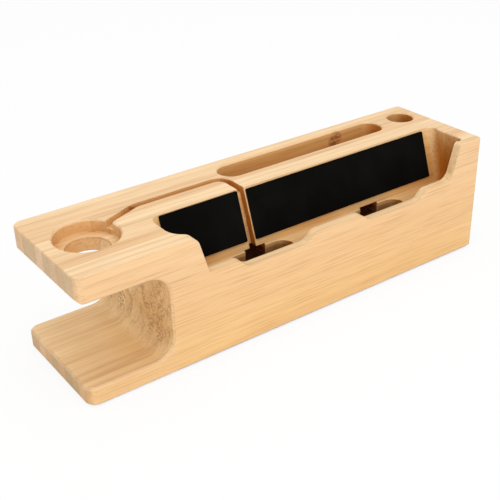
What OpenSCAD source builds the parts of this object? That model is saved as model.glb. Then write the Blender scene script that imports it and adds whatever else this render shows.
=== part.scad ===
// Charging station organizer in laminated bamboo, with a watch bracket, a phone bay and pen storage

/* [Block] */
// Length of the block from left to right
body_l = 245; // [235:1:300]
// Thickness of the base board
base_board_t = 22.5; // [20:0.5:26]
// Thickness of the middle board
middle_board_t = 25; // [23:0.5:30]
// Thickness of the top board
top_board_t = 18.5; // [16:0.5:22]
// Radius of the two upright corners at the watch end
left_corner_r = 5; // [3:0.5:8]
// Radius of the two upright corners at the stylus end
right_corner_r = 2; // [1.5:0.5:6]
// Width of the bevel on the outside edges
edge_bevel = 0.5; // [0.4:0.1:1.4]

/* [Lamination] */
// Staves glued side by side in each board
stave_count = 10; // [8:1:12]
// Width left of the front stave in the base and top boards
first_stave = 3.6; // [3:0.1:5]
// Share of a full stave left at the back of those boards
last_share = 0.83; // [0.7:0.01:0.95]

/* [Watch bracket] */
// Depth of the mouth from the left end
mouth_l = 45; // [42:0.5:52]
// Thickness of the base plate under the mouth
base_plate_t = 9; // [7:0.5:14]
// Thickness of the top plate over the mouth
top_plate_t = 13.6; // [12:0.1:15]
// Width of the bevel under the open end of the top plate
top_plate_bevel = 2.8; // [1:0.2:4]
// Radius of the two inner corners of the mouth
mouth_r = 10.5; // [6:0.5:15]
// Width of the bevel on the edges of the mouth
mouth_bevel = 1; // [0.5:0.1:1.4]
// Diameter of the recess for the watch charger
recess_d = 31; // [28:0.5:34]
// Depth of the recess for the watch charger
recess_depth = 6.5; // [4:0.5:8]
// Diameter of the hole through the recess floor
puck_hole_d = 21.5; // [16:0.5:24]

/* [Cable groove] */
// Width of the groove for the watch charger's cable
groove_w = 4; // [3:0.5:5]
// Depth of the groove
groove_depth = 4; // [3:0.5:5]
// Direction in which the groove leaves the recess, in degrees from the long side
groove_dir = 22; // [16:1:26]
// Distance of the groove's long stretch behind the top edge of the back rest
groove_setback = 15.8; // [14:0.2:18]
// Radius of the groove's first bend, at the centre line
groove_bend_r = 10; // [8:1:14]
// Radius of the groove's turn towards the phone bay, at the centre line
groove_turn_r = 6.5; // [5:0.5:8]
// Distance of the groove to the left of the first cable window
groove_shift = 1; // [0:0.5:2]

/* [Phone bay] */
// Wood between the watch mouth and the phone bay
bay_left_wall = 7.9; // [6:0.1:10]
// Wood between the phone bay and the right end
bay_end_wall = 9.5; // [7:0.5:12]
// Thickness of the front wall
front_wall_t = 4.8; // [4:0.1:5.4]
// Width of the bay at the top, from the front wall to the top edge of the back rest
bay_w = 24.8; // [24.4:0.2:30]
// Height of the bay floor over the underside
bay_floor_z = 36.5; // [35:0.5:38]
// Lean of the back rest from upright, in degrees
rest_lean = 18.6; // [14:0.2:19]
// Radius of the bay's left front corner
bay_left_r = 9.8; // [3:0.2:9.8]
// Radius of the bay's right front corner
bay_right_r = 3; // [2:0.5:4]
// Radius of the corners that run down beside the back rest
bay_back_r = 4.5; // [3:0.5:6]
// Width of the bevel on the top edges at the ends of the bay
bay_bevel = 0.6; // [0.3:0.1:0.8]

/* [Front lip] */
// Height of the low part of the front wall
lip_z = 46; // [44:0.5:48]
// Depth of the two finger notches below it
notch_depth = 4.7; // [3:0.1:5]
// Width of a notch between its two lower corners
notch_w = 36.2; // [26:0.2:38]
// Slope of a notch's sides, in degrees
notch_slope = 45; // [35:1:50]
// Radius of the notch curves
notch_r = 6.1; // [3:0.1:6.4]
// Distance from the bay's left end to where the left shoulder starts to fall
shoulder_left = 3.1; // [3:0.1:6]
// Distance from the bay's right end to where the right shoulder starts to fall
shoulder_right = 4.7; // [3.2:0.1:7]
// Slant of the shoulders from upright, in degrees
shoulder_slant = 15.9; // [12:0.1:17]
// Radius of the crown of the left shoulder
crown_left_r = 5.6; // [4:0.2:7.4]
// Radius of the crown of the right shoulder
crown_right_r = 2.5; // [2:0.1:3]
// Radius of the hollow at the foot of the right shoulder
hollow_r = 6; // [3:0.5:7]

/* [Cable windows] */
// Distance of the first window from the left end
window_x = 105.5; // [104:0.5:108]
// Distance between the two windows
window_pitch = 76; // [72:1:78]
// Length of a window
window_l = 37; // [30:0.5:40]
// Width of a window
window_w = 13; // [10:0.5:13.5]
// Wood between the window and the front wall
window_gap = 1.5; // [1:0.1:1.5]
// Width of the slot that runs back from each window
stem_w = 12.3; // [8:0.1:16]
// Height by which that slot cuts into the foot of the back rest
stem_rise = 0.7; // [0.5:0.1:3]
// Thickness of the bay floor over the cable hollow
shelf_t = 5.5; // [4:0.5:8]

/* [Pens] */
// Width of the ledge between the back rest and the pen slot
ledge_w = 13.2; // [12:0.2:20]
// Wood behind the pen slot
back_wall_t = 7; // [6:0.2:12]
// Width of the pen slot
pen_slot_w = 15.2; // [12:0.2:16]
// Depth of the pen slot
pen_slot_depth = 25; // [15:1:28]
// Distance from the groove's centre line to the start of the pen slot
pen_slot_lead = 2; // [2:0.5:8]
// Wood between the pen slot and the stylus hole
pen_web = 9.5; // [5:0.5:14]
// Diameter of the stylus hole
stylus_d = 15; // [10:0.5:16]
// Depth of the stylus hole
stylus_depth = 40; // [25:1:50]
// Distance of the stylus hole from the right end
stylus_inset = 12.5; // [12:0.5:14]
// Width of the bevel on the rims of the recess, pen slot and stylus hole
rim_bevel = 0.8; // [0.4:0.1:1]

/* [Underside] */
// Wood in front of the cable hollow
hollow_front_wall = 6; // [5:0.5:8]
// Distance by which the cable hollow reaches behind the top edge of the back rest
hollow_reach = 10.4; // [8:0.2:14]
// Wood kept between each end of the hollow and the outer window ends
hollow_margin = 3; // [2:0.5:6]
// Radius of the hollow's corners
hollow_corner_r = 6; // [4:0.5:8]
// Width of the cable exits in the back face
exit_w = 12.3; // [8:0.1:18]
// Height of the cable exits
exit_h = 10; // [6:0.5:14]
// Radius of the upper corners of the cable exits
exit_r = 3; // [1:0.5:3.5]

/* [Pads and feet] */
// Thickness of the pads on the back rest
pad_t = 1; // [0.5:0.1:1.5]
// Length of the pads down the slope
pad_drop = 25.8; // [22:0.2:26]
// Distance from the top edge of the back rest to the left pad
pad_inset = 0.6; // [0.4:0.1:2]
// How much lower the right pad sits
pad_step = 0.6; // [0:0.1:1]
// Wood showing between each pad and the groove
pad_gap = 0.7; // [0.4:0.1:3]
// Wood showing between the left pad and the left end of the bay
pad_left_gap = 4.9; // [4.6:0.1:8]
// Wood showing between the right pad and the right end of the bay
pad_right_gap = 7.5; // [5:0.1:12]
// Radius of the pad corners
pad_corner_r = 0.6; // [0.3:0.1:2]
// Diameter of a foot
foot_d = 10; // [8:0.5:14]
// Thickness of a foot
foot_t = 1; // [0.8:0.1:2]
// Distance of the foot centres from the sides of the block
foot_inset = 12; // [9:0.5:14]
// Width of the bevel round the lower edge of a foot
foot_bevel = 0.4; // [0.2:0.1:0.6]

/* [Hidden] */
body_w = front_wall_t + bay_w + ledge_w + pen_slot_w + back_wall_t;
body_h = base_board_t + middle_board_t + top_board_t;
cut_through = 1;
edge_over = 0.5;
arc_overlap = 0.02;
round_fn = 96;
least_run = 0.001;
largest_arc_share = 0.49;

mouth_floor_z = base_plate_t;
mouth_roof_z = body_h - top_plate_t;
watch_x = mouth_l / 2;
watch_y = body_w / 2;

bay_x0 = mouth_l + bay_left_wall;
bay_x1 = body_l - bay_end_wall;
bay_depth = body_h - bay_floor_z;
rest_top_y = front_wall_t + bay_w;
rest_l = bay_depth / cos(rest_lean);
rest_foot_y = rest_top_y - bay_depth * tan(rest_lean);
bay_side_y = rest_top_y - bay_back_r / cos(rest_lean) - bay_bevel;

groove_x = window_x - groove_shift;
groove_y = rest_top_y + groove_setback;
groove_bend_x = watch_x + (groove_y - watch_y) / tan(groove_dir);

shoulder_run = (body_h - lip_z) * tan(shoulder_slant);
crown_left_x = bay_x0 + shoulder_left + crown_setback(crown_left_r);
crown_right_x = bay_x1 - shoulder_right - crown_setback(crown_right_r);
notch_run = notch_depth / tan(notch_slope);
notch_side = notch_depth / sin(notch_slope);
// Each of the two arcs on a notch's side takes less than half of it
notch_curve_r = min(notch_r, largest_arc_share * notch_side / tan(notch_slope / 2));

window_xs = [window_x, window_x + window_pitch];
window_y = front_wall_t + window_gap + window_w / 2;
shelf_z = bay_floor_z - shelf_t;
hollow_x0 = window_xs[0] - window_l / 2 - hollow_margin;
hollow_x1 = window_xs[1] + window_l / 2 + hollow_margin;
hollow_back_y = rest_top_y + hollow_reach;

pen_y = body_w - back_wall_t - pen_slot_w / 2;
stylus_x = body_l - stylus_inset;
pen_slot_x0 = groove_x + pen_slot_lead;
pen_slot_x1 = stylus_x - stylus_d / 2 - pen_web;

// Boards from the bottom up: name, height of the underside, thickness and the share of a stave
// by which its seams shift
BOARDS = [
    ["base", 0, base_board_t, 0],
    ["middle", base_board_t, middle_board_t, 0.5],
    ["top", base_board_t + middle_board_t, top_board_t, 0],
];
stave_pitch = (body_w - first_stave) / (stave_count - 2 + last_share);
stave_colors = ["#F2D3A0", "#EBC78E", "#F5DAAC", "#E8C187"];

FOOT_NAMES = ["front_left_foot", "front_right_foot", "rear_left_foot", "rear_right_foot"];

// Length that the crown of a shoulder takes from the straight top edge
function crown_setback(r) = r * tan((90 - shoulder_slant) / 2);

function stave_name(board, i) = str(board[0], "_stave_", i);

// Distance of a glue seam from the front face; seam 0 is the front face and the last one the back face
function seam_y(board, i) =
    i == 0 ? 0 :
    i == stave_count ? body_w :
    first_stave + (i - 1 + board[3]) * stave_pitch;

// A path is a list of [x, y, r]: its corners, each with the radius that rounds it.
// Arcs are drawn only at corners between the first and the last point.
function xy(point) = [point[0], point[1]];
function unit(v) = v / norm(v);
function next(path, i) = path[(i + 1) % len(path)];
function to_last(path, i) = unit(xy(path[i - 1]) - xy(path[i]));
function to_next(path, i) = unit(xy(next(path, i)) - xy(path[i]));
function rounded(path, i) = i > 0 && path[i][2] > 0;
function half_angle(path, i) = acos(to_last(path, i) * to_next(path, i)) / 2;
function turns_left(path, i) = cross(to_next(path, i), to_last(path, i)) > 0;
function setback(path, i) = rounded(path, i) ? path[i][2] / tan(half_angle(path, i)) : 0;
function arc_start(path, i) = xy(path[i]) + setback(path, i) * to_last(path, i);
function arc_end(path, i) = xy(path[i]) + setback(path, i) * to_next(path, i);
function arc_centre(path, i) =
    xy(path[i]) + path[i][2] / sin(half_angle(path, i)) * unit(to_last(path, i) + to_next(path, i));
function bearing(from, to) = atan2(to[1] - from[1], to[0] - from[0]);
function closed(path) = concat(path, [path[0]]);

// A point a little outside a corner, so that the sliver there leaves no film along the straight sides
function past_corner(path, i) = xy(path[i]) + edge_over * unit(xy(path[i]) - arc_centre(path, i));

// The sliver between a corner of the path and the arc that rounds it
module corner_sliver(path, i) {
    difference() {
        polygon([arc_start(path, i), past_corner(path, i), arc_end(path, i), arc_centre(path, i)]);
        translate(arc_centre(path, i)) circle(path[i][2], $fn = round_fn);
    }
}

// The area inside a closed path that runs anticlockwise
module area(path) {
    arcs = [for (i = [1:len(path) - 1]) if (rounded(path, i)) i];
    difference() {
        polygon([for (point = path) xy(point)]);
        for (i = arcs) if (turns_left(path, i)) corner_sliver(path, i);
    }
    for (i = arcs) if (!turns_left(path, i)) corner_sliver(path, i);
}

// Section of the waste that takes a bevel w wide off a square edge at the origin
module bevel_waste(w) {
    polygon([
        [-edge_over, -edge_over],
        [w + edge_over, -edge_over],
        [-edge_over, w + edge_over],
    ]);
}

// Waste that bevels the edge along a path in the plane z = 0. The wood lies to the right of
// the path and below it.
module bevel_along(path, w) {
    last = len(path) - 1;
    for (i = [0:last - 1]) {
        start = i == 0 ? xy(path[0]) : arc_end(path, i);
        end = i + 1 == last ? xy(path[last]) : arc_start(path, i + 1);
        if (norm(end - start) > least_run)
            translate([start[0], start[1], 0])
                rotate([0, 0, bearing(start, end)])
                    rotate([90, 0, 90])
                        mirror([1, 1, 0])
                            linear_extrude(norm(end - start)) bevel_waste(w);
    }
    for (i = [1:last - 1]) if (rounded(path, i)) {
        centre = arc_centre(path, i);
        left = turns_left(path, i);
        sweep = 180 - 2 * half_angle(path, i) + 2 * arc_overlap;
        first = bearing(centre, left ? arc_start(path, i) : arc_end(path, i)) - arc_overlap;
        translate([centre[0], centre[1], 0])
            rotate([0, 0, first])
                rotate_extrude(angle = sweep, $fn = round_fn)
                    translate([path[i][2], 0])
                        mirror([0, 1])
                            mirror([left ? 0 : 1, 0]) bevel_waste(w);
    }
}

// Waste that bevels the mouth of a round hole in the plane z = 0
module bevel_hole(d, w) {
    rotate_extrude($fn = round_fn)
        translate([d / 2, 0])
            mirror([0, 1])
                bevel_waste(w);
}

// A strip of width w along an open path
module strip(path, w) {
    last = len(path) - 1;
    for (i = [0:last - 1]) {
        start = i == 0 ? xy(path[0]) : arc_end(path, i);
        end = i + 1 == last ? xy(path[last]) : arc_start(path, i + 1);
        translate(start)
            rotate(bearing(start, end))
                translate([0, -w / 2])
                    square([norm(end - start), w]);
    }
    for (i = [1:last - 1]) if (rounded(path, i))
        intersection() {
            translate(arc_centre(path, i))
                difference() {
                    circle(path[i][2] + w / 2, $fn = round_fn);
                    circle(path[i][2] - w / 2, $fn = round_fn);
                }
            polygon([
                arc_centre(path, i),
                arc_centre(path, i) + 2 * (arc_start(path, i) - arc_centre(path, i)),
                arc_centre(path, i) + 2 * (xy(path[i]) - arc_centre(path, i)),
                arc_centre(path, i) + 2 * (arc_end(path, i) - arc_centre(path, i)),
            ]);
        }
}

// Stands a drawing of x and z on the plane y = 0, so that what lies below it points backwards
module facing_front() {
    rotate([90, 0, 0]) children();
}

module facing_back(y) {
    translate([0, y, 0]) mirror([0, 1, 0]) facing_front() children();
}

// Frame of the back rest: x along the bay, y up the slope and z out of the wood, from the top edge
module on_rest() {
    translate([0, rest_top_y, body_h]) rotate([90 - rest_lean, 0, 0]) children();
}

// Plan of the block, from the middle of the front face
block_path = [
    [body_l / 2, 0, 0],
    [body_l, 0, right_corner_r],
    [body_l, body_w, right_corner_r],
    [0, body_w, left_corner_r],
    [0, 0, left_corner_r],
];

// Outside edge of the top, from crown to crown round the back
top_rim_path = [
    [crown_left_x, 0, 0],
    [0, 0, left_corner_r],
    [0, body_w, left_corner_r],
    [body_l, body_w, right_corner_r],
    [body_l, 0, right_corner_r],
    [crown_right_x - edge_bevel, 0, 0],
];

// Outside edge of the underside, all the way round
base_rim_path = [
    [body_l / 2, 0, 0],
    [0, 0, left_corner_r],
    [0, body_w, left_corner_r],
    [body_l, body_w, right_corner_r],
    [body_l, 0, right_corner_r],
    [body_l / 2, 0, 0],
];

// Outside edge of the two plates beside the mouth
plate_path = [
    [left_corner_r, 0, 0],
    [0, 0, left_corner_r],
    [0, body_w, left_corner_r],
    [left_corner_r, body_w, 0],
];

// Edge of the mouth of the watch bracket, seen from the front
mouth_path = [
    [left_corner_r, mouth_floor_z, 0],
    [mouth_l, mouth_floor_z, mouth_r],
    [mouth_l, mouth_roof_z, mouth_r],
    [left_corner_r, mouth_roof_z, 0],
];

// Upper edge of the front wall, from where the left shoulder starts to fall to the top of the right one
lip_path = concat(
    [
        [bay_x0 + shoulder_left, body_h, 0],
        [crown_left_x, body_h, crown_left_r],
        [crown_left_x + shoulder_run, lip_z, 0],
    ],
    [for (x = window_xs) each [
        [x - notch_w / 2 - notch_run, lip_z, notch_curve_r],
        [x - notch_w / 2, lip_z - notch_depth, notch_curve_r],
        [x + notch_w / 2, lip_z - notch_depth, notch_curve_r],
        [x + notch_w / 2 + notch_run, lip_z, notch_curve_r],
    ]],
    [
        [crown_right_x - shoulder_run, lip_z, hollow_r],
        [crown_right_x, body_h, crown_right_r],
        [bay_x1 - shoulder_right, body_h, 0],
    ]
);

groove_path = [
    [watch_x, watch_y, 0],
    [groove_bend_x, groove_y, groove_bend_r],
    [groove_x, groove_y, groove_turn_r],
    [groove_x, rest_foot_y, 0],
];

pen_slot_path = [
    [(pen_slot_x0 + pen_slot_x1) / 2, pen_y - pen_slot_w / 2, 0],
    [pen_slot_x1, pen_y - pen_slot_w / 2, pen_slot_w / 2],
    [pen_slot_x1, pen_y + pen_slot_w / 2, pen_slot_w / 2],
    [pen_slot_x0, pen_y + pen_slot_w / 2, pen_slot_w / 2],
    [pen_slot_x0, pen_y - pen_slot_w / 2, pen_slot_w / 2],
];

// Extrudes a drawing of x and z from y0 to y1
module across(y0, y1) {
    translate([0, y1, 0]) facing_front() linear_extrude(y1 - y0) children();
}

module mouth_cut() {
    across(-cut_through, body_w + cut_through)
        area([
            [-cut_through, mouth_floor_z, 0],
            [mouth_l, mouth_floor_z, mouth_r],
            [mouth_l, mouth_roof_z, mouth_r],
            [-cut_through, mouth_roof_z, 0],
        ]);
}

module plate_end_bevel() {
    across(-cut_through, body_w + cut_through)
        translate([0, mouth_roof_z]) bevel_waste(top_plate_bevel);
}

module watch_seat_cut() {
    translate([watch_x, watch_y, body_h]) {
        translate([0, 0, -recess_depth])
            cylinder(h = recess_depth + cut_through, d = recess_d, $fn = round_fn);
        translate([0, 0, -top_plate_t - cut_through])
            cylinder(h = top_plate_t + cut_through, d = puck_hole_d, $fn = round_fn);
        bevel_hole(recess_d, rim_bevel);
    }
}

module groove_cut() {
    translate([0, 0, body_h - groove_depth])
        linear_extrude(groove_depth + cut_through) strip(groove_path, groove_w);
}

// The groove's run down the back rest, into the first window
module rest_groove_cut() {
    on_rest()
        translate([groove_x - groove_w / 2, -rest_l - groove_w / 2, -groove_depth])
            cube([groove_w, rest_l + groove_w / 2, groove_depth + cut_through]);
}

module bay_cut() {
    intersection() {
        translate([0, 0, bay_floor_z])
            linear_extrude(bay_depth + cut_through)
                area([
                    [bay_x0, body_w, 0],
                    [bay_x0, front_wall_t, bay_left_r],
                    [bay_x1, front_wall_t, bay_right_r],
                    [bay_x1, body_w, 0],
                ]);
        on_rest()
            across(-rest_l - rest_top_y, rest_top_y)
                area([
                    [bay_x0, body_w, 0],
                    [bay_x0, 0, bay_back_r],
                    [bay_x1, 0, bay_back_r],
                    [bay_x1, body_w, 0],
                ]);
    }
}

// Bevels on the top edges at the two ends of the bay
module bay_bevels() {
    translate([0, 0, body_h]) {
        bevel_along([
            [bay_x0, bay_side_y, 0],
            [bay_x0, front_wall_t, bay_left_r],
            [bay_x0 + bay_left_r, front_wall_t, 0],
        ], bay_bevel);
        bevel_along([
            [bay_x1 - shoulder_right, front_wall_t, 0],
            [bay_x1, front_wall_t, bay_right_r],
            [bay_x1, bay_side_y, 0],
        ], bay_bevel);
    }
}

// Room over the lip, as far back as the bay's left front corner reaches
module lip_cut() {
    across(-2 * cut_through, front_wall_t + bay_left_r + cut_through)
        area(concat(lip_path, [
            [bay_x1 - shoulder_right, body_h + 2 * cut_through, 0],
            [bay_x0 + shoulder_left, body_h + 2 * cut_through, 0],
        ]));
}

module window_cut() {
    for (x = window_xs) {
        translate([x - window_l / 2, window_y - window_w / 2, shelf_z - cut_through]) window_oval();
        translate([x - stem_w / 2, window_y, shelf_z - cut_through])
            cube([stem_w, hollow_back_y - window_y, shelf_t + stem_rise + cut_through]);
    }
}

module window_oval() {
    linear_extrude(shelf_t + 2 * cut_through) {
        for (x = [window_w / 2, window_l - window_w / 2])
            translate([x, window_w / 2]) circle(d = window_w, $fn = round_fn);
        translate([window_w / 2, 0]) square([window_l - window_w, window_w]);
    }
}

module hollow_cut() {
    translate([0, 0, -cut_through])
        linear_extrude(shelf_z + cut_through)
            area([
                [(hollow_x0 + hollow_x1) / 2, hollow_front_wall, 0],
                [hollow_x1, hollow_front_wall, hollow_corner_r],
                [hollow_x1, hollow_back_y, hollow_corner_r],
                [hollow_x0, hollow_back_y, hollow_corner_r],
                [hollow_x0, hollow_front_wall, hollow_corner_r],
            ]);
}

module exit_cut() {
    for (x = window_xs)
        across(hollow_back_y - cut_through, body_w + cut_through)
            area([
                [x - exit_w / 2, -cut_through, 0],
                [x + exit_w / 2, -cut_through, 0],
                [x + exit_w / 2, exit_h, exit_r],
                [x - exit_w / 2, exit_h, exit_r],
            ]);
}

module pen_slot_cut() {
    translate([0, 0, body_h - pen_slot_depth])
        linear_extrude(pen_slot_depth + cut_through) area(pen_slot_path);
}

module stylus_cut() {
    translate([stylus_x, pen_y, body_h - stylus_depth])
        cylinder(h = stylus_depth + cut_through, d = stylus_d, $fn = round_fn);
}

// Passes on a cut only where it reaches the stave between $front and $back
module from_to(y0, y1) {
    if (y0 < $back && y1 > $front) children();
}

module top_cuts() {
    mouth_cut();
    mouth_bevels();
    translate([0, 0, body_h]) bevel_along(top_rim_path, edge_bevel);
    translate([0, 0, mouth_roof_z]) mirror([0, 0, 1]) bevel_along(plate_path, mouth_bevel);
    plate_end_bevel();
    from_to(watch_y - recess_d / 2 - rim_bevel, watch_y + recess_d / 2 + rim_bevel) watch_seat_cut();
    from_to(rest_foot_y, groove_y + groove_w) groove_cut();
    from_to(pen_y - pen_slot_w / 2 - rim_bevel, pen_y + pen_slot_w / 2 + rim_bevel) {
        pen_slot_cut();
        translate([0, 0, body_h]) bevel_along(closed(pen_slot_path), rim_bevel);
        stylus_cut();
        translate([stylus_x, pen_y, body_h]) bevel_hole(stylus_d, rim_bevel);
    }
    from_to(front_wall_t - bay_bevel, rest_top_y) bay_bevels();
    bay_cuts();
}

// Bevels round the mouth in the front and back faces
module mouth_bevels() {
    from_to(0, mouth_bevel) facing_front() bevel_along(mouth_path, mouth_bevel);
    from_to(body_w - mouth_bevel, body_w) facing_back(body_w) bevel_along(mouth_path, mouth_bevel);
}

// What the top and middle boards share of the phone bay
module bay_cuts() {
    from_to(front_wall_t, rest_top_y) bay_cut();
    from_to(rest_foot_y, rest_top_y + groove_depth) rest_groove_cut();
    from_to(0, front_wall_t + bay_left_r) lip_cut();
}

module middle_cuts() {
    mouth_cut();
    mouth_bevels();
    bay_cuts();
    from_to(window_y - window_w / 2, hollow_back_y) window_cut();
    from_to(hollow_front_wall, hollow_back_y) hollow_cut();
    from_to(pen_y - pen_slot_w / 2, pen_y + pen_slot_w / 2) {
        pen_slot_cut();
        stylus_cut();
    }
}

module base_cuts() {
    mouth_cut();
    mouth_bevels();
    mirror([0, 0, 1]) bevel_along(base_rim_path, edge_bevel);
    translate([0, 0, mouth_floor_z]) bevel_along(plate_path, mouth_bevel);
    from_to(hollow_front_wall, hollow_back_y) hollow_cut();
    from_to(hollow_back_y, body_w) exit_cut();
}

// Stands the block on its feet, with the origin under its middle
module standing() {
    translate([-body_l / 2, -body_w / 2, foot_t]) children();
}

module stave(board, i) {
    $front = seam_y(board, i - 1);
    $back = seam_y(board, i);
    color(stave_colors[i % len(stave_colors)])
        standing()
            difference() {
                intersection() {
                    translate([0, $front, board[1]]) cube([body_l, $back - $front, board[2]]);
                    linear_extrude(body_h) area(block_path);
                }
                if (board[0] == "base") base_cuts();
                if (board[0] == "middle") middle_cuts();
                if (board[0] == "top") top_cuts();
            }
}

module pad(x0, x1, inset) {
    color("#101010")
        standing()
            on_rest()
                linear_extrude(pad_t)
                    area([
                        [(x0 + x1) / 2, -inset - pad_drop, 0],
                        [x1, -inset - pad_drop, pad_corner_r],
                        [x1, -inset, pad_corner_r],
                        [x0, -inset, pad_corner_r],
                        [x0, -inset - pad_drop, pad_corner_r],
                    ]);
}

module left_pad() {
    pad(bay_x0 + pad_left_gap, groove_x - groove_w / 2 - pad_gap, pad_inset);
}

module right_pad() {
    pad(groove_x + groove_w / 2 + pad_gap, bay_x1 - pad_right_gap, pad_inset + pad_step);
}

module foot(x, y) {
    color("#1A1A1A")
        standing()
            translate([x, y, -foot_t])
                rotate_extrude($fn = round_fn)
                    polygon([
                        [0, 0],
                        [foot_d / 2 - foot_bevel, 0],
                        [foot_d / 2, foot_bevel],
                        [foot_d / 2, foot_t],
                        [0, foot_t],
                    ]);
}

foot_xs = [foot_inset, body_l - foot_inset];
foot_ys = [foot_inset, body_w - foot_inset];

for (board = BOARDS) for (i = [1:stave_count])
    stave(board, i);
left_pad();
right_pad();
for (i = [0:len(FOOT_NAMES) - 1])
    foot(foot_xs[i % 2], foot_ys[floor(i / 2)]);
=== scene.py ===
import math

import bpy
from mathutils import Euler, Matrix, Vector


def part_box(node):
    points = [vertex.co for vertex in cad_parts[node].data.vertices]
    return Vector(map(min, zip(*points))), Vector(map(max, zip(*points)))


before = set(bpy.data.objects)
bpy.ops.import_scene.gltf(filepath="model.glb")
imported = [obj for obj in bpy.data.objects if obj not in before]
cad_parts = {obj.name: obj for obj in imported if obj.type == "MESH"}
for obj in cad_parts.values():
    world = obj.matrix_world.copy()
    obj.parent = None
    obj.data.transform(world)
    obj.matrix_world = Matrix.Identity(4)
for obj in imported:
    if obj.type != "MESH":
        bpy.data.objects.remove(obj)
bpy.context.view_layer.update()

# Camera: place in metres, direction and lens of the photograph
EYE = Vector((-0.2481, -0.3351, 0.2554))
HEADING = math.radians(35.29)
DOWN = math.radians(28.90)
ROLL = math.radians(-1.50)
SENSOR_MM = 36.0
LENS_MM = 65.5

# Boards of the block, each with a number that varies its staves
BOARDS = {"base": 93.0, "middle": 8.0, "top": 368.0}

# Bamboo colours, linear
PALE = (1.0, 0.80, 0.54, 1)
CREAM = (0.93, 0.69, 0.41, 1)
STRAW = (0.78, 0.49, 0.245, 1)
TAN = (0.60, 0.34, 0.16, 1)
END_TAN = (0.54, 0.30, 0.10, 1)
GREY_TAN = (0.41, 0.275, 0.13, 1)
ROSY_TAN = (0.57, 0.305, 0.155, 1)
BROWN = (0.30, 0.14, 0.05, 1)
KNOT_BROWN = (0.30, 0.10, 0.03, 1)

# What each colour keeps under painted shade: on the broad front and back sides of the staves, in sheltered wood,
# in the routed hollows and in the hollow under the bay floor
BROAD_SIDE_SHADE = (1.0, 0.93, 0.87)
SHELTER_SHADE = (1.0, 0.98, 0.7)
HOLLOW_SHADE = (0.62, 0.30, 0.05)
UNDERSIDE_SHADE = (0.30, 0.14, 0.09)

# Lengths in metres
HOLLOW_REACH = 0.08
BASE_TOP = 0.02
BAY_FLOOR = 0.037
MOUTH_ROOF = 0.0534
RECESS_FLOOR = 0.0595
MARGIN = 0.001
MOUTH_WALL = 0.003
ROUNDING = 0.0009
GLUE = 0.00018
KNOT = (0.0675, 0.0258, 0.0615)
KNOT_SIZE = 0.0055

# How far in front of its first seam, in staves, a board's front stave reaches at most
FRONT_RUN = -0.95


class Nodes:
    """Adds and links the nodes of one material."""

    def __init__(self, name):
        self.material = bpy.data.materials.new(name)
        self.material.use_nodes = True
        self.tree = self.material.node_tree
        self.shader = self.tree.nodes["Principled BSDF"]

    def add(self, kind, inputs=(), **settings):
        node = self.tree.nodes.new(kind)
        for key, value in settings.items():
            setattr(node, key, value)
        for socket, value in dict(inputs).items():
            self.feed(node.inputs[socket], value)
        return node

    def feed(self, socket, value):
        if isinstance(value, bpy.types.NodeSocket):
            self.tree.links.new(value, socket)
        else:
            socket.default_value = value

    def math(self, operation, a, b=0.0, c=0.0, clamp=False):
        node = self.add("ShaderNodeMath", {0: a, 1: b, 2: c}, operation=operation, use_clamp=clamp)
        return node.outputs[0]

    def vector(self, operation, a, b=(0, 0, 0), c=(0, 0, 0)):
        node = self.add("ShaderNodeVectorMath", operation=operation)
        for socket, value in zip(node.inputs, (a, b, c)):
            self.feed(socket, value)
        return node.outputs["Value" if operation == "DOT_PRODUCT" else "Vector"]

    def split(self, vector):
        return self.add("ShaderNodeSeparateXYZ", {0: vector}).outputs[:3]

    def mix(self, factor, a, b):
        """Colour a, and b where the factor is 1."""
        node = self.add("ShaderNodeMix", data_type="RGBA")
        for socket, value in zip((node.inputs[0], node.inputs[6], node.inputs[7]), (factor, a, b)):
            self.feed(socket, value)
        return node.outputs[2]

    def noise(self, vector, scale, detail=2.0, roughness=0.5):
        """Noise with its own scale, per metre, along X, Y and Z."""
        inputs = {"Vector": self.vector("MULTIPLY", vector, scale), "Scale": 1.0}
        return self.add("ShaderNodeTexNoise", {**inputs, "Detail": detail, "Roughness": roughness}).outputs["Fac"]

    def dots(self, vector, scale):
        """Distance to the nearest of many scattered points, in cells."""
        inputs = {"Vector": self.vector("MULTIPLY", vector, scale), "Scale": 1.0}
        return self.add("ShaderNodeTexVoronoi", inputs).outputs["Distance"]

    def span(self, value, low, high, out_low=0.0, out_high=1.0):
        inputs = {"Value": value, "From Min": low, "From Max": high, "To Min": out_low, "To Max": out_high}
        return self.add("ShaderNodeMapRange", inputs, clamp=True).outputs[0]

    def away_from(self, value, places):
        """Distance of a value from the nearest of two places."""
        gaps = [self.math("ABSOLUTE", self.math("SUBTRACT", value, place)) for place in places]
        return self.math("MINIMUM", *gaps)


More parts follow.
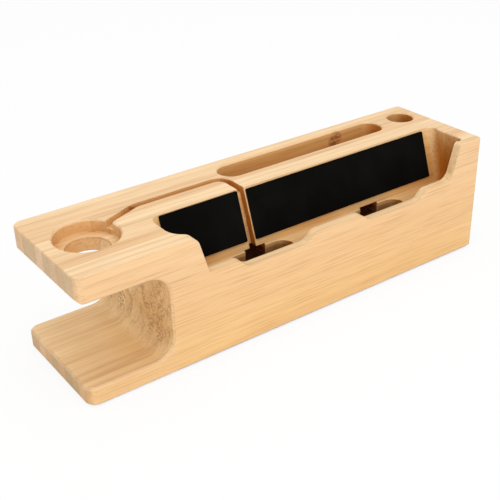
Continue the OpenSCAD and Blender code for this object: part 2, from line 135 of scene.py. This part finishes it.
def bamboo(board, seed, seam, pitch, board_seams, ends, mouth_end):
    """Bamboo of one board, whose glued staves lie side by side across Y."""
    n = Nodes("bamboo_" + board)
    place = n.add("ShaderNodeTexCoord").outputs["Object"]
    x, y, z = n.split(place)
    flat = n.add("ShaderNodeNewGeometry").outputs["Normal"]
    end, broad, level = [n.span(n.math("ABSOLUTE", part), 0.45, 0.95) for part in n.split(flat)]
    shelter = n.add("ShaderNodeAmbientOcclusion", {"Distance": HOLLOW_REACH}, samples=8).outputs["AO"]

    # end grain, rough except where it is sanded: in the open, beyond the mouth, inside the ends; keeping it rough
    # and darker only where the wood is sheltered is painted shade
    beyond = n.math("GREATER_THAN", x, mouth_end + MOUTH_WALL)
    inside = n.span(n.away_from(x, ends), MARGIN, MARGIN * 2)
    sanded_where_unshaded = n.math("MULTIPLY", n.math("MULTIPLY", beyond, inside), n.span(shelter, 0.5, 0.65))
    rough_end = n.math("MULTIPLY", end, n.math("SUBTRACT", 1.0, sanded_where_unshaded))

    # the stave at this place, three chances that vary it, and the share of its width passed
    run = n.math("MAXIMUM", n.math("DIVIDE", n.math("SUBTRACT", y, seam), pitch), FRONT_RUN)
    stave = n.math("FLOOR", run)
    passed = n.math("SUBTRACT", run, stave)
    lot = n.add("ShaderNodeTexWhiteNoise", {"W": n.math("ADD", stave, seed)}, noise_dimensions="1D")
    tone, turned, knuckle_at = n.split(lot.outputs["Color"])
    own = n.vector("MULTIPLY_ADD", lot.outputs["Color"], (2.0, 2.0, 2.0), place)

    # tone of the stave, with slow clouds, long streaks and hairlines
    cloud = n.span(n.noise(own, (16, 90, 90)), 0.3, 0.7)
    streak = n.span(n.noise(own, (12, 380, 380), 3.0, 0.6), 0.46, 0.70)
    thin = n.span(n.noise(own, (30, 1500, 1500), 2.0, 0.6), 0.52, 0.64)
    amount = n.math("MULTIPLY_ADD", tone, 0.75, n.math("MULTIPLY", cloud, 0.25), clamp=True)
    colour = n.mix(amount, CREAM, STRAW)
    shown = n.math("MULTIPLY_ADD", tone, 0.4, 0.34)
    shown = n.math("MULTIPLY", shown, n.math("MULTIPLY_ADD", broad, -0.7, 1.0))
    colour = n.mix(n.math("MULTIPLY", streak, shown), colour, TAN)
    colour = n.mix(n.math("MULTIPLY", thin, n.math("MULTIPLY_ADD", broad, 0.15, 0.3)), colour, TAN)
    # painted shade: the broad front and back sides of the staves a little darker and more orange than the top
    colour = n.mix(broad, colour, n.vector("MULTIPLY", colour, BROAD_SIDE_SHADE))

    # fibre bundles, denser towards one side of the stave: lines along it, dots at its end
    side = n.math("GREATER_THAN", turned, 0.5)
    dense = n.math("ABSOLUTE", n.math("SUBTRACT", side, passed))
    bundle = n.dots(own, (5, 1000, 1000))
    bundle = n.span(bundle, 0.08, n.math("MULTIPLY_ADD", dense, 0.3, 0.2), 1.0, 0.0)
    colour = n.mix(n.math("MULTIPLY", bundle, n.math("MULTIPLY_ADD", rough_end, 0.35, 0.16)), colour, BROWN)

    # end grain: darker, most so where the bundles are dense, with wavy torn fibres
    darker = n.math("MULTIPLY_ADD", turned, 0.28, n.math("MULTIPLY", dense, 0.08))
    colour = n.mix(n.math("MULTIPLY", rough_end, darker), colour, END_TAN)
    wave = n.math("ABSOLUTE", n.math("SUBTRACT", n.noise(own, (5, 460, 560), 3.0, 0.6), 0.5))
    patch = n.span(n.noise(own, (9, 130, 90)), 0.45, 0.60, 0.05, 0.85)
    torn = n.math("MULTIPLY", n.span(wave, 0.01, 0.06, 1.0, 0.0), patch)
    torn = n.math("MULTIPLY", torn, n.math("MULTIPLY_ADD", inside, 0.7, 0.3))
    sawn = n.math("MULTIPLY", n.math("SUBTRACT", 1.0, beyond), n.math("LESS_THAN", z, MOUTH_ROOF))
    torn = n.math("MULTIPLY", torn, sawn)
    colour = n.mix(n.math("MULTIPLY", torn, rough_end), colour, BROWN)

    # the block's own ends: greyed, or a little rosy
    outer = n.math("MULTIPLY", end, n.math("SUBTRACT", 1.0, inside))
    greyed = n.math("MULTIPLY", outer, n.math("MULTIPLY_ADD", turned, 0.4, 0.3))
    colour = n.mix(greyed, colour, n.mix(n.span(knuckle_at, 0.3, 0.7), GREY_TAN, ROSY_TAN))

    # painted shade in the hollows beyond the mouth and in the recess, darkest where the wood is sheltered and
    # strongest on end grain
    routed = n.math("MULTIPLY", beyond, n.span(z, BASE_TOP, BAY_FLOOR))
    routed = n.math("MAXIMUM", routed, n.math("MULTIPLY", n.math("GREATER_THAN", z, RECESS_FLOOR), 0.45))
    share = n.math("MULTIPLY_ADD", end, 0.7, n.math("MULTIPLY_ADD", level, 0.25, 0.3))
    hollow_shade_share = n.math("MULTIPLY", routed, share)
    hollow_shaded = n.math("MULTIPLY", n.span(shelter, 0.4, 0.75, 1.0, 0.0), hollow_shade_share)
    colour = n.mix(hollow_shaded, colour, n.vector("MULTIPLY", colour, HOLLOW_SHADE))
    # painted shade in the sheltered hollow below the bay floor
    under = n.math("MULTIPLY", beyond, n.span(z, BAY_FLOOR - 2 * MARGIN, BAY_FLOOR - MARGIN, 1.0, 0.0))
    underside_shaded = n.math("MULTIPLY", under, n.span(shelter, 0.1, 0.42, 1.0, 0.0))
    colour = n.mix(underside_shaded, colour, n.vector("MULTIPLY", colour, UNDERSIDE_SHADE))
    # painted warm shade, less blue, wherever the wood is sheltered, most beyond the mouth
    warm_shade = n.math("MULTIPLY", n.span(shelter, 0.3, 0.9, 1.0, 0.0), n.math("MULTIPLY_ADD", beyond, 0.4, 0.6))
    colour = n.mix(warm_shade, colour, n.vector("MULTIPLY", colour, SHELTER_SHADE))

    # a knuckle across each dark stave, made darkest by painted shade in the sheltered hollows
    wobble = n.math("MULTIPLY_ADD", n.noise(own, (120, 260, 260)), 0.006, x)
    beside = n.math("ABSOLUTE", n.math("MULTIPLY_ADD", n.math("SUBTRACT", knuckle_at, 0.5), 0.15, wobble))
    knuckle = n.math("MULTIPLY", n.span(beside, 0.0005, 0.004, 1.0, 0.0), n.span(tone, 0.6, 0.75))
    knuckle = n.math("MULTIPLY", knuckle, n.math("MULTIPLY_ADD", hollow_shaded, 0.5, 0.1))
    colour = n.mix(knuckle, colour, BROWN)

    # a knot in the back wall of the pen slot
    offset = n.vector("MULTIPLY", n.vector("SUBTRACT", place, KNOT), (1 / KNOT_SIZE,) * 3)
    knot = n.span(n.vector("DOT_PRODUCT", offset, offset), 0.3, 1.0, 0.9, 0.0)
    knot = n.math("MULTIPLY", knot, n.span(n.noise(own, (300, 600, 600)), 0.4, 0.58, 0.3, 1.0))
    colour = n.mix(knot, colour, KNOT_BROWN)

    # glue lines between the staves and the boards
    in_stave = n.math("MULTIPLY", n.math("PINGPONG", run, 0.5), pitch)
    in_board = n.away_from(z, board_seams)
    from_seam = n.math("MINIMUM", in_stave, in_board)
    glue = n.span(from_seam, GLUE / 3, GLUE, 0.16, 0.0)
    colour = n.mix(glue, colour, BROWN)

    # edges worn round, except where two staves meet, with a pale painted highlight along them
    round_normal = n.add("ShaderNodeBevel", {"Radius": ROUNDING}, samples=6).outputs[0]
    open_edge = n.span(from_seam, ROUNDING, ROUNDING * 1.2)
    bend = n.vector("SUBTRACT", round_normal, flat)
    smooth = n.vector("MULTIPLY_ADD", bend, n.add("ShaderNodeCombineXYZ", dict.fromkeys(range(3), open_edge)).outputs[0], flat)
    smooth = n.vector("NORMALIZE", smooth)
    edge_highlight = n.span(n.vector("DOT_PRODUCT", smooth, flat), 0.8, 0.99, 0.6, 0.0)
    colour = n.mix(edge_highlight, colour, PALE)

    n.feed(n.shader.inputs["Base Color"], colour)
    n.feed(n.shader.inputs["Roughness"], n.span(thin, 0.0, 1.0, 0.42, 0.55))
    n.shader.inputs["Specular IOR Level"].default_value = 0.35
    relief = n.math("ADD", thin, bundle)
    bump = n.add("ShaderNodeBump", {"Height": relief, "Strength": 0.12, "Distance": 0.0001, "Normal": smooth}, invert=True)
    n.feed(n.shader.inputs["Normal"], bump.outputs[0])
    return n.material


def rubber(name, colour, roughness):
    """Matte black rubber with a fine pebble and a little dust."""
    n = Nodes(name)
    place = n.add("ShaderNodeTexCoord").outputs["Object"]
    pebble = n.noise(place, (2600, 2600, 2600))
    dust = n.noise(place, (60, 60, 60), 3.0)
    dusty = tuple(c * 1.8 for c in colour[:3]) + (1,)
    n.feed(n.shader.inputs["Base Color"], n.mix(n.span(dust, 0.4, 0.7), colour, dusty))
    n.feed(n.shader.inputs["Roughness"], n.span(pebble, 0.3, 0.7, roughness - 0.08, roughness + 0.08))
    n.shader.inputs["Specular IOR Level"].default_value = 0.03
    bump = n.add("ShaderNodeBump", {"Height": pebble, "Strength": 0.15, "Distance": 0.0001})
    n.feed(n.shader.inputs["Normal"], bump.outputs[0])
    return n.material


def dress(node, material):
    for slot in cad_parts[node].material_slots:
        slot.material = material


def dress_block():
    board_seams = [corner.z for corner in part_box("middle_stave_10")]
    ends = [corner.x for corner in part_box("base_stave_5")]
    mouth_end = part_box("middle_stave_5")[0].x
    for board, seed in BOARDS.items():
        staves = [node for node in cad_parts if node.startswith(board + "_stave_")]
        seam_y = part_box(board + "_stave_2")[0].y
        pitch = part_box(board + "_stave_3")[0].y - seam_y
        material = bamboo(board, seed, seam_y, pitch, board_seams, ends, mouth_end)
        for node in staves:
            dress(node, material)


def dress_rubber():
    pad = rubber("pad_rubber", (0.0028, 0.0028, 0.0024, 1), 0.85)
    foot = rubber("foot_rubber", (0.012, 0.012, 0.012, 1), 0.6)
    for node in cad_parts:
        if node.endswith("_pad"):
            dress(node, pad)
        if node.endswith("_foot"):
            dress(node, foot)


def make_floor():
    bpy.ops.mesh.primitive_plane_add(size=8.0, location=(0, 0, 0))
    floor = bpy.context.object
    floor.name = "floor"
    n = Nodes("floor_white")
    n.shader.inputs["Base Color"].default_value = (0.9, 0.9, 0.9, 1)
    n.shader.inputs["Roughness"].default_value = 0.9
    path = n.add("ShaderNodeLightPath")
    shelter = n.add("ShaderNodeAmbientOcclusion", {"Distance": HOLLOW_REACH}).outputs["AO"]
    lit = n.span(shelter, 0.05, 0.25, 0.0, 0.88)
    glow = n.add("ShaderNodeEmission", {"Color": (1, 1, 1, 1), "Strength": 1.0})
    blend = n.add("ShaderNodeMixShader")
    n.feed(blend.inputs[0], n.math("MULTIPLY", path.outputs["Is Camera Ray"], lit))
    n.feed(blend.inputs[1], n.shader.outputs[0])
    n.feed(blend.inputs[2], glow.outputs[0])
    n.feed(n.tree.nodes["Material Output"].inputs[0], blend.outputs[0])
    floor.data.materials.append(n.material)


def make_light(name, place, size, power):
    data = bpy.data.lights.new(name, "AREA")
    data.energy = power
    data.size = size
    lamp = bpy.data.objects.new(name, data)
    lamp.location = place
    lamp.rotation_euler = (-Vector(place)).to_track_quat("-Z", "Y").to_euler()
    bpy.context.collection.objects.link(lamp)


def make_world():
    world = bpy.data.worlds.new("studio")
    bpy.context.scene.world = world
    world.use_nodes = True
    tree = world.node_tree
    back = tree.nodes["Background"]
    path = tree.nodes.new("ShaderNodeLightPath")
    strength = tree.nodes.new("ShaderNodeMapRange")
    tree.links.new(path.outputs["Is Camera Ray"], strength.inputs["Value"])
    strength.inputs["To Min"].default_value = 0.72
    strength.inputs["To Max"].default_value = 1.0
    tree.links.new(strength.outputs[0], back.inputs["Strength"])
    back.inputs["Color"].default_value = (1, 1, 1, 1)


def make_camera():
    data = bpy.data.cameras.new("camera")
    data.sensor_width = SENSOR_MM
    data.lens = LENS_MM
    data.clip_start = 0.01
    camera = bpy.data.objects.new("camera", data)
    bpy.context.collection.objects.link(camera)
    aim = Euler((math.pi / 2 - DOWN, 0, -HEADING)).to_matrix()
    camera.rotation_euler = (aim @ Euler((0, 0, ROLL)).to_matrix()).to_euler()
    camera.location = EYE
    bpy.context.scene.camera = camera


make_camera()
make_floor()
make_world()
make_light("front", (0.0, -1.13, 0.41), 0.7, 2.2)
make_light("above", (-0.1, -0.65, 1.0), 0.9, 1.5)
make_light("top", (0.0, 0.0, 1.2), 0.9, 4.3)
make_light("side", (-1.0, -0.45, 0.35), 0.7, 1.1)
dress_block()
dress_rubber()

bpy.context.scene.view_settings.view_transform = "Standard"
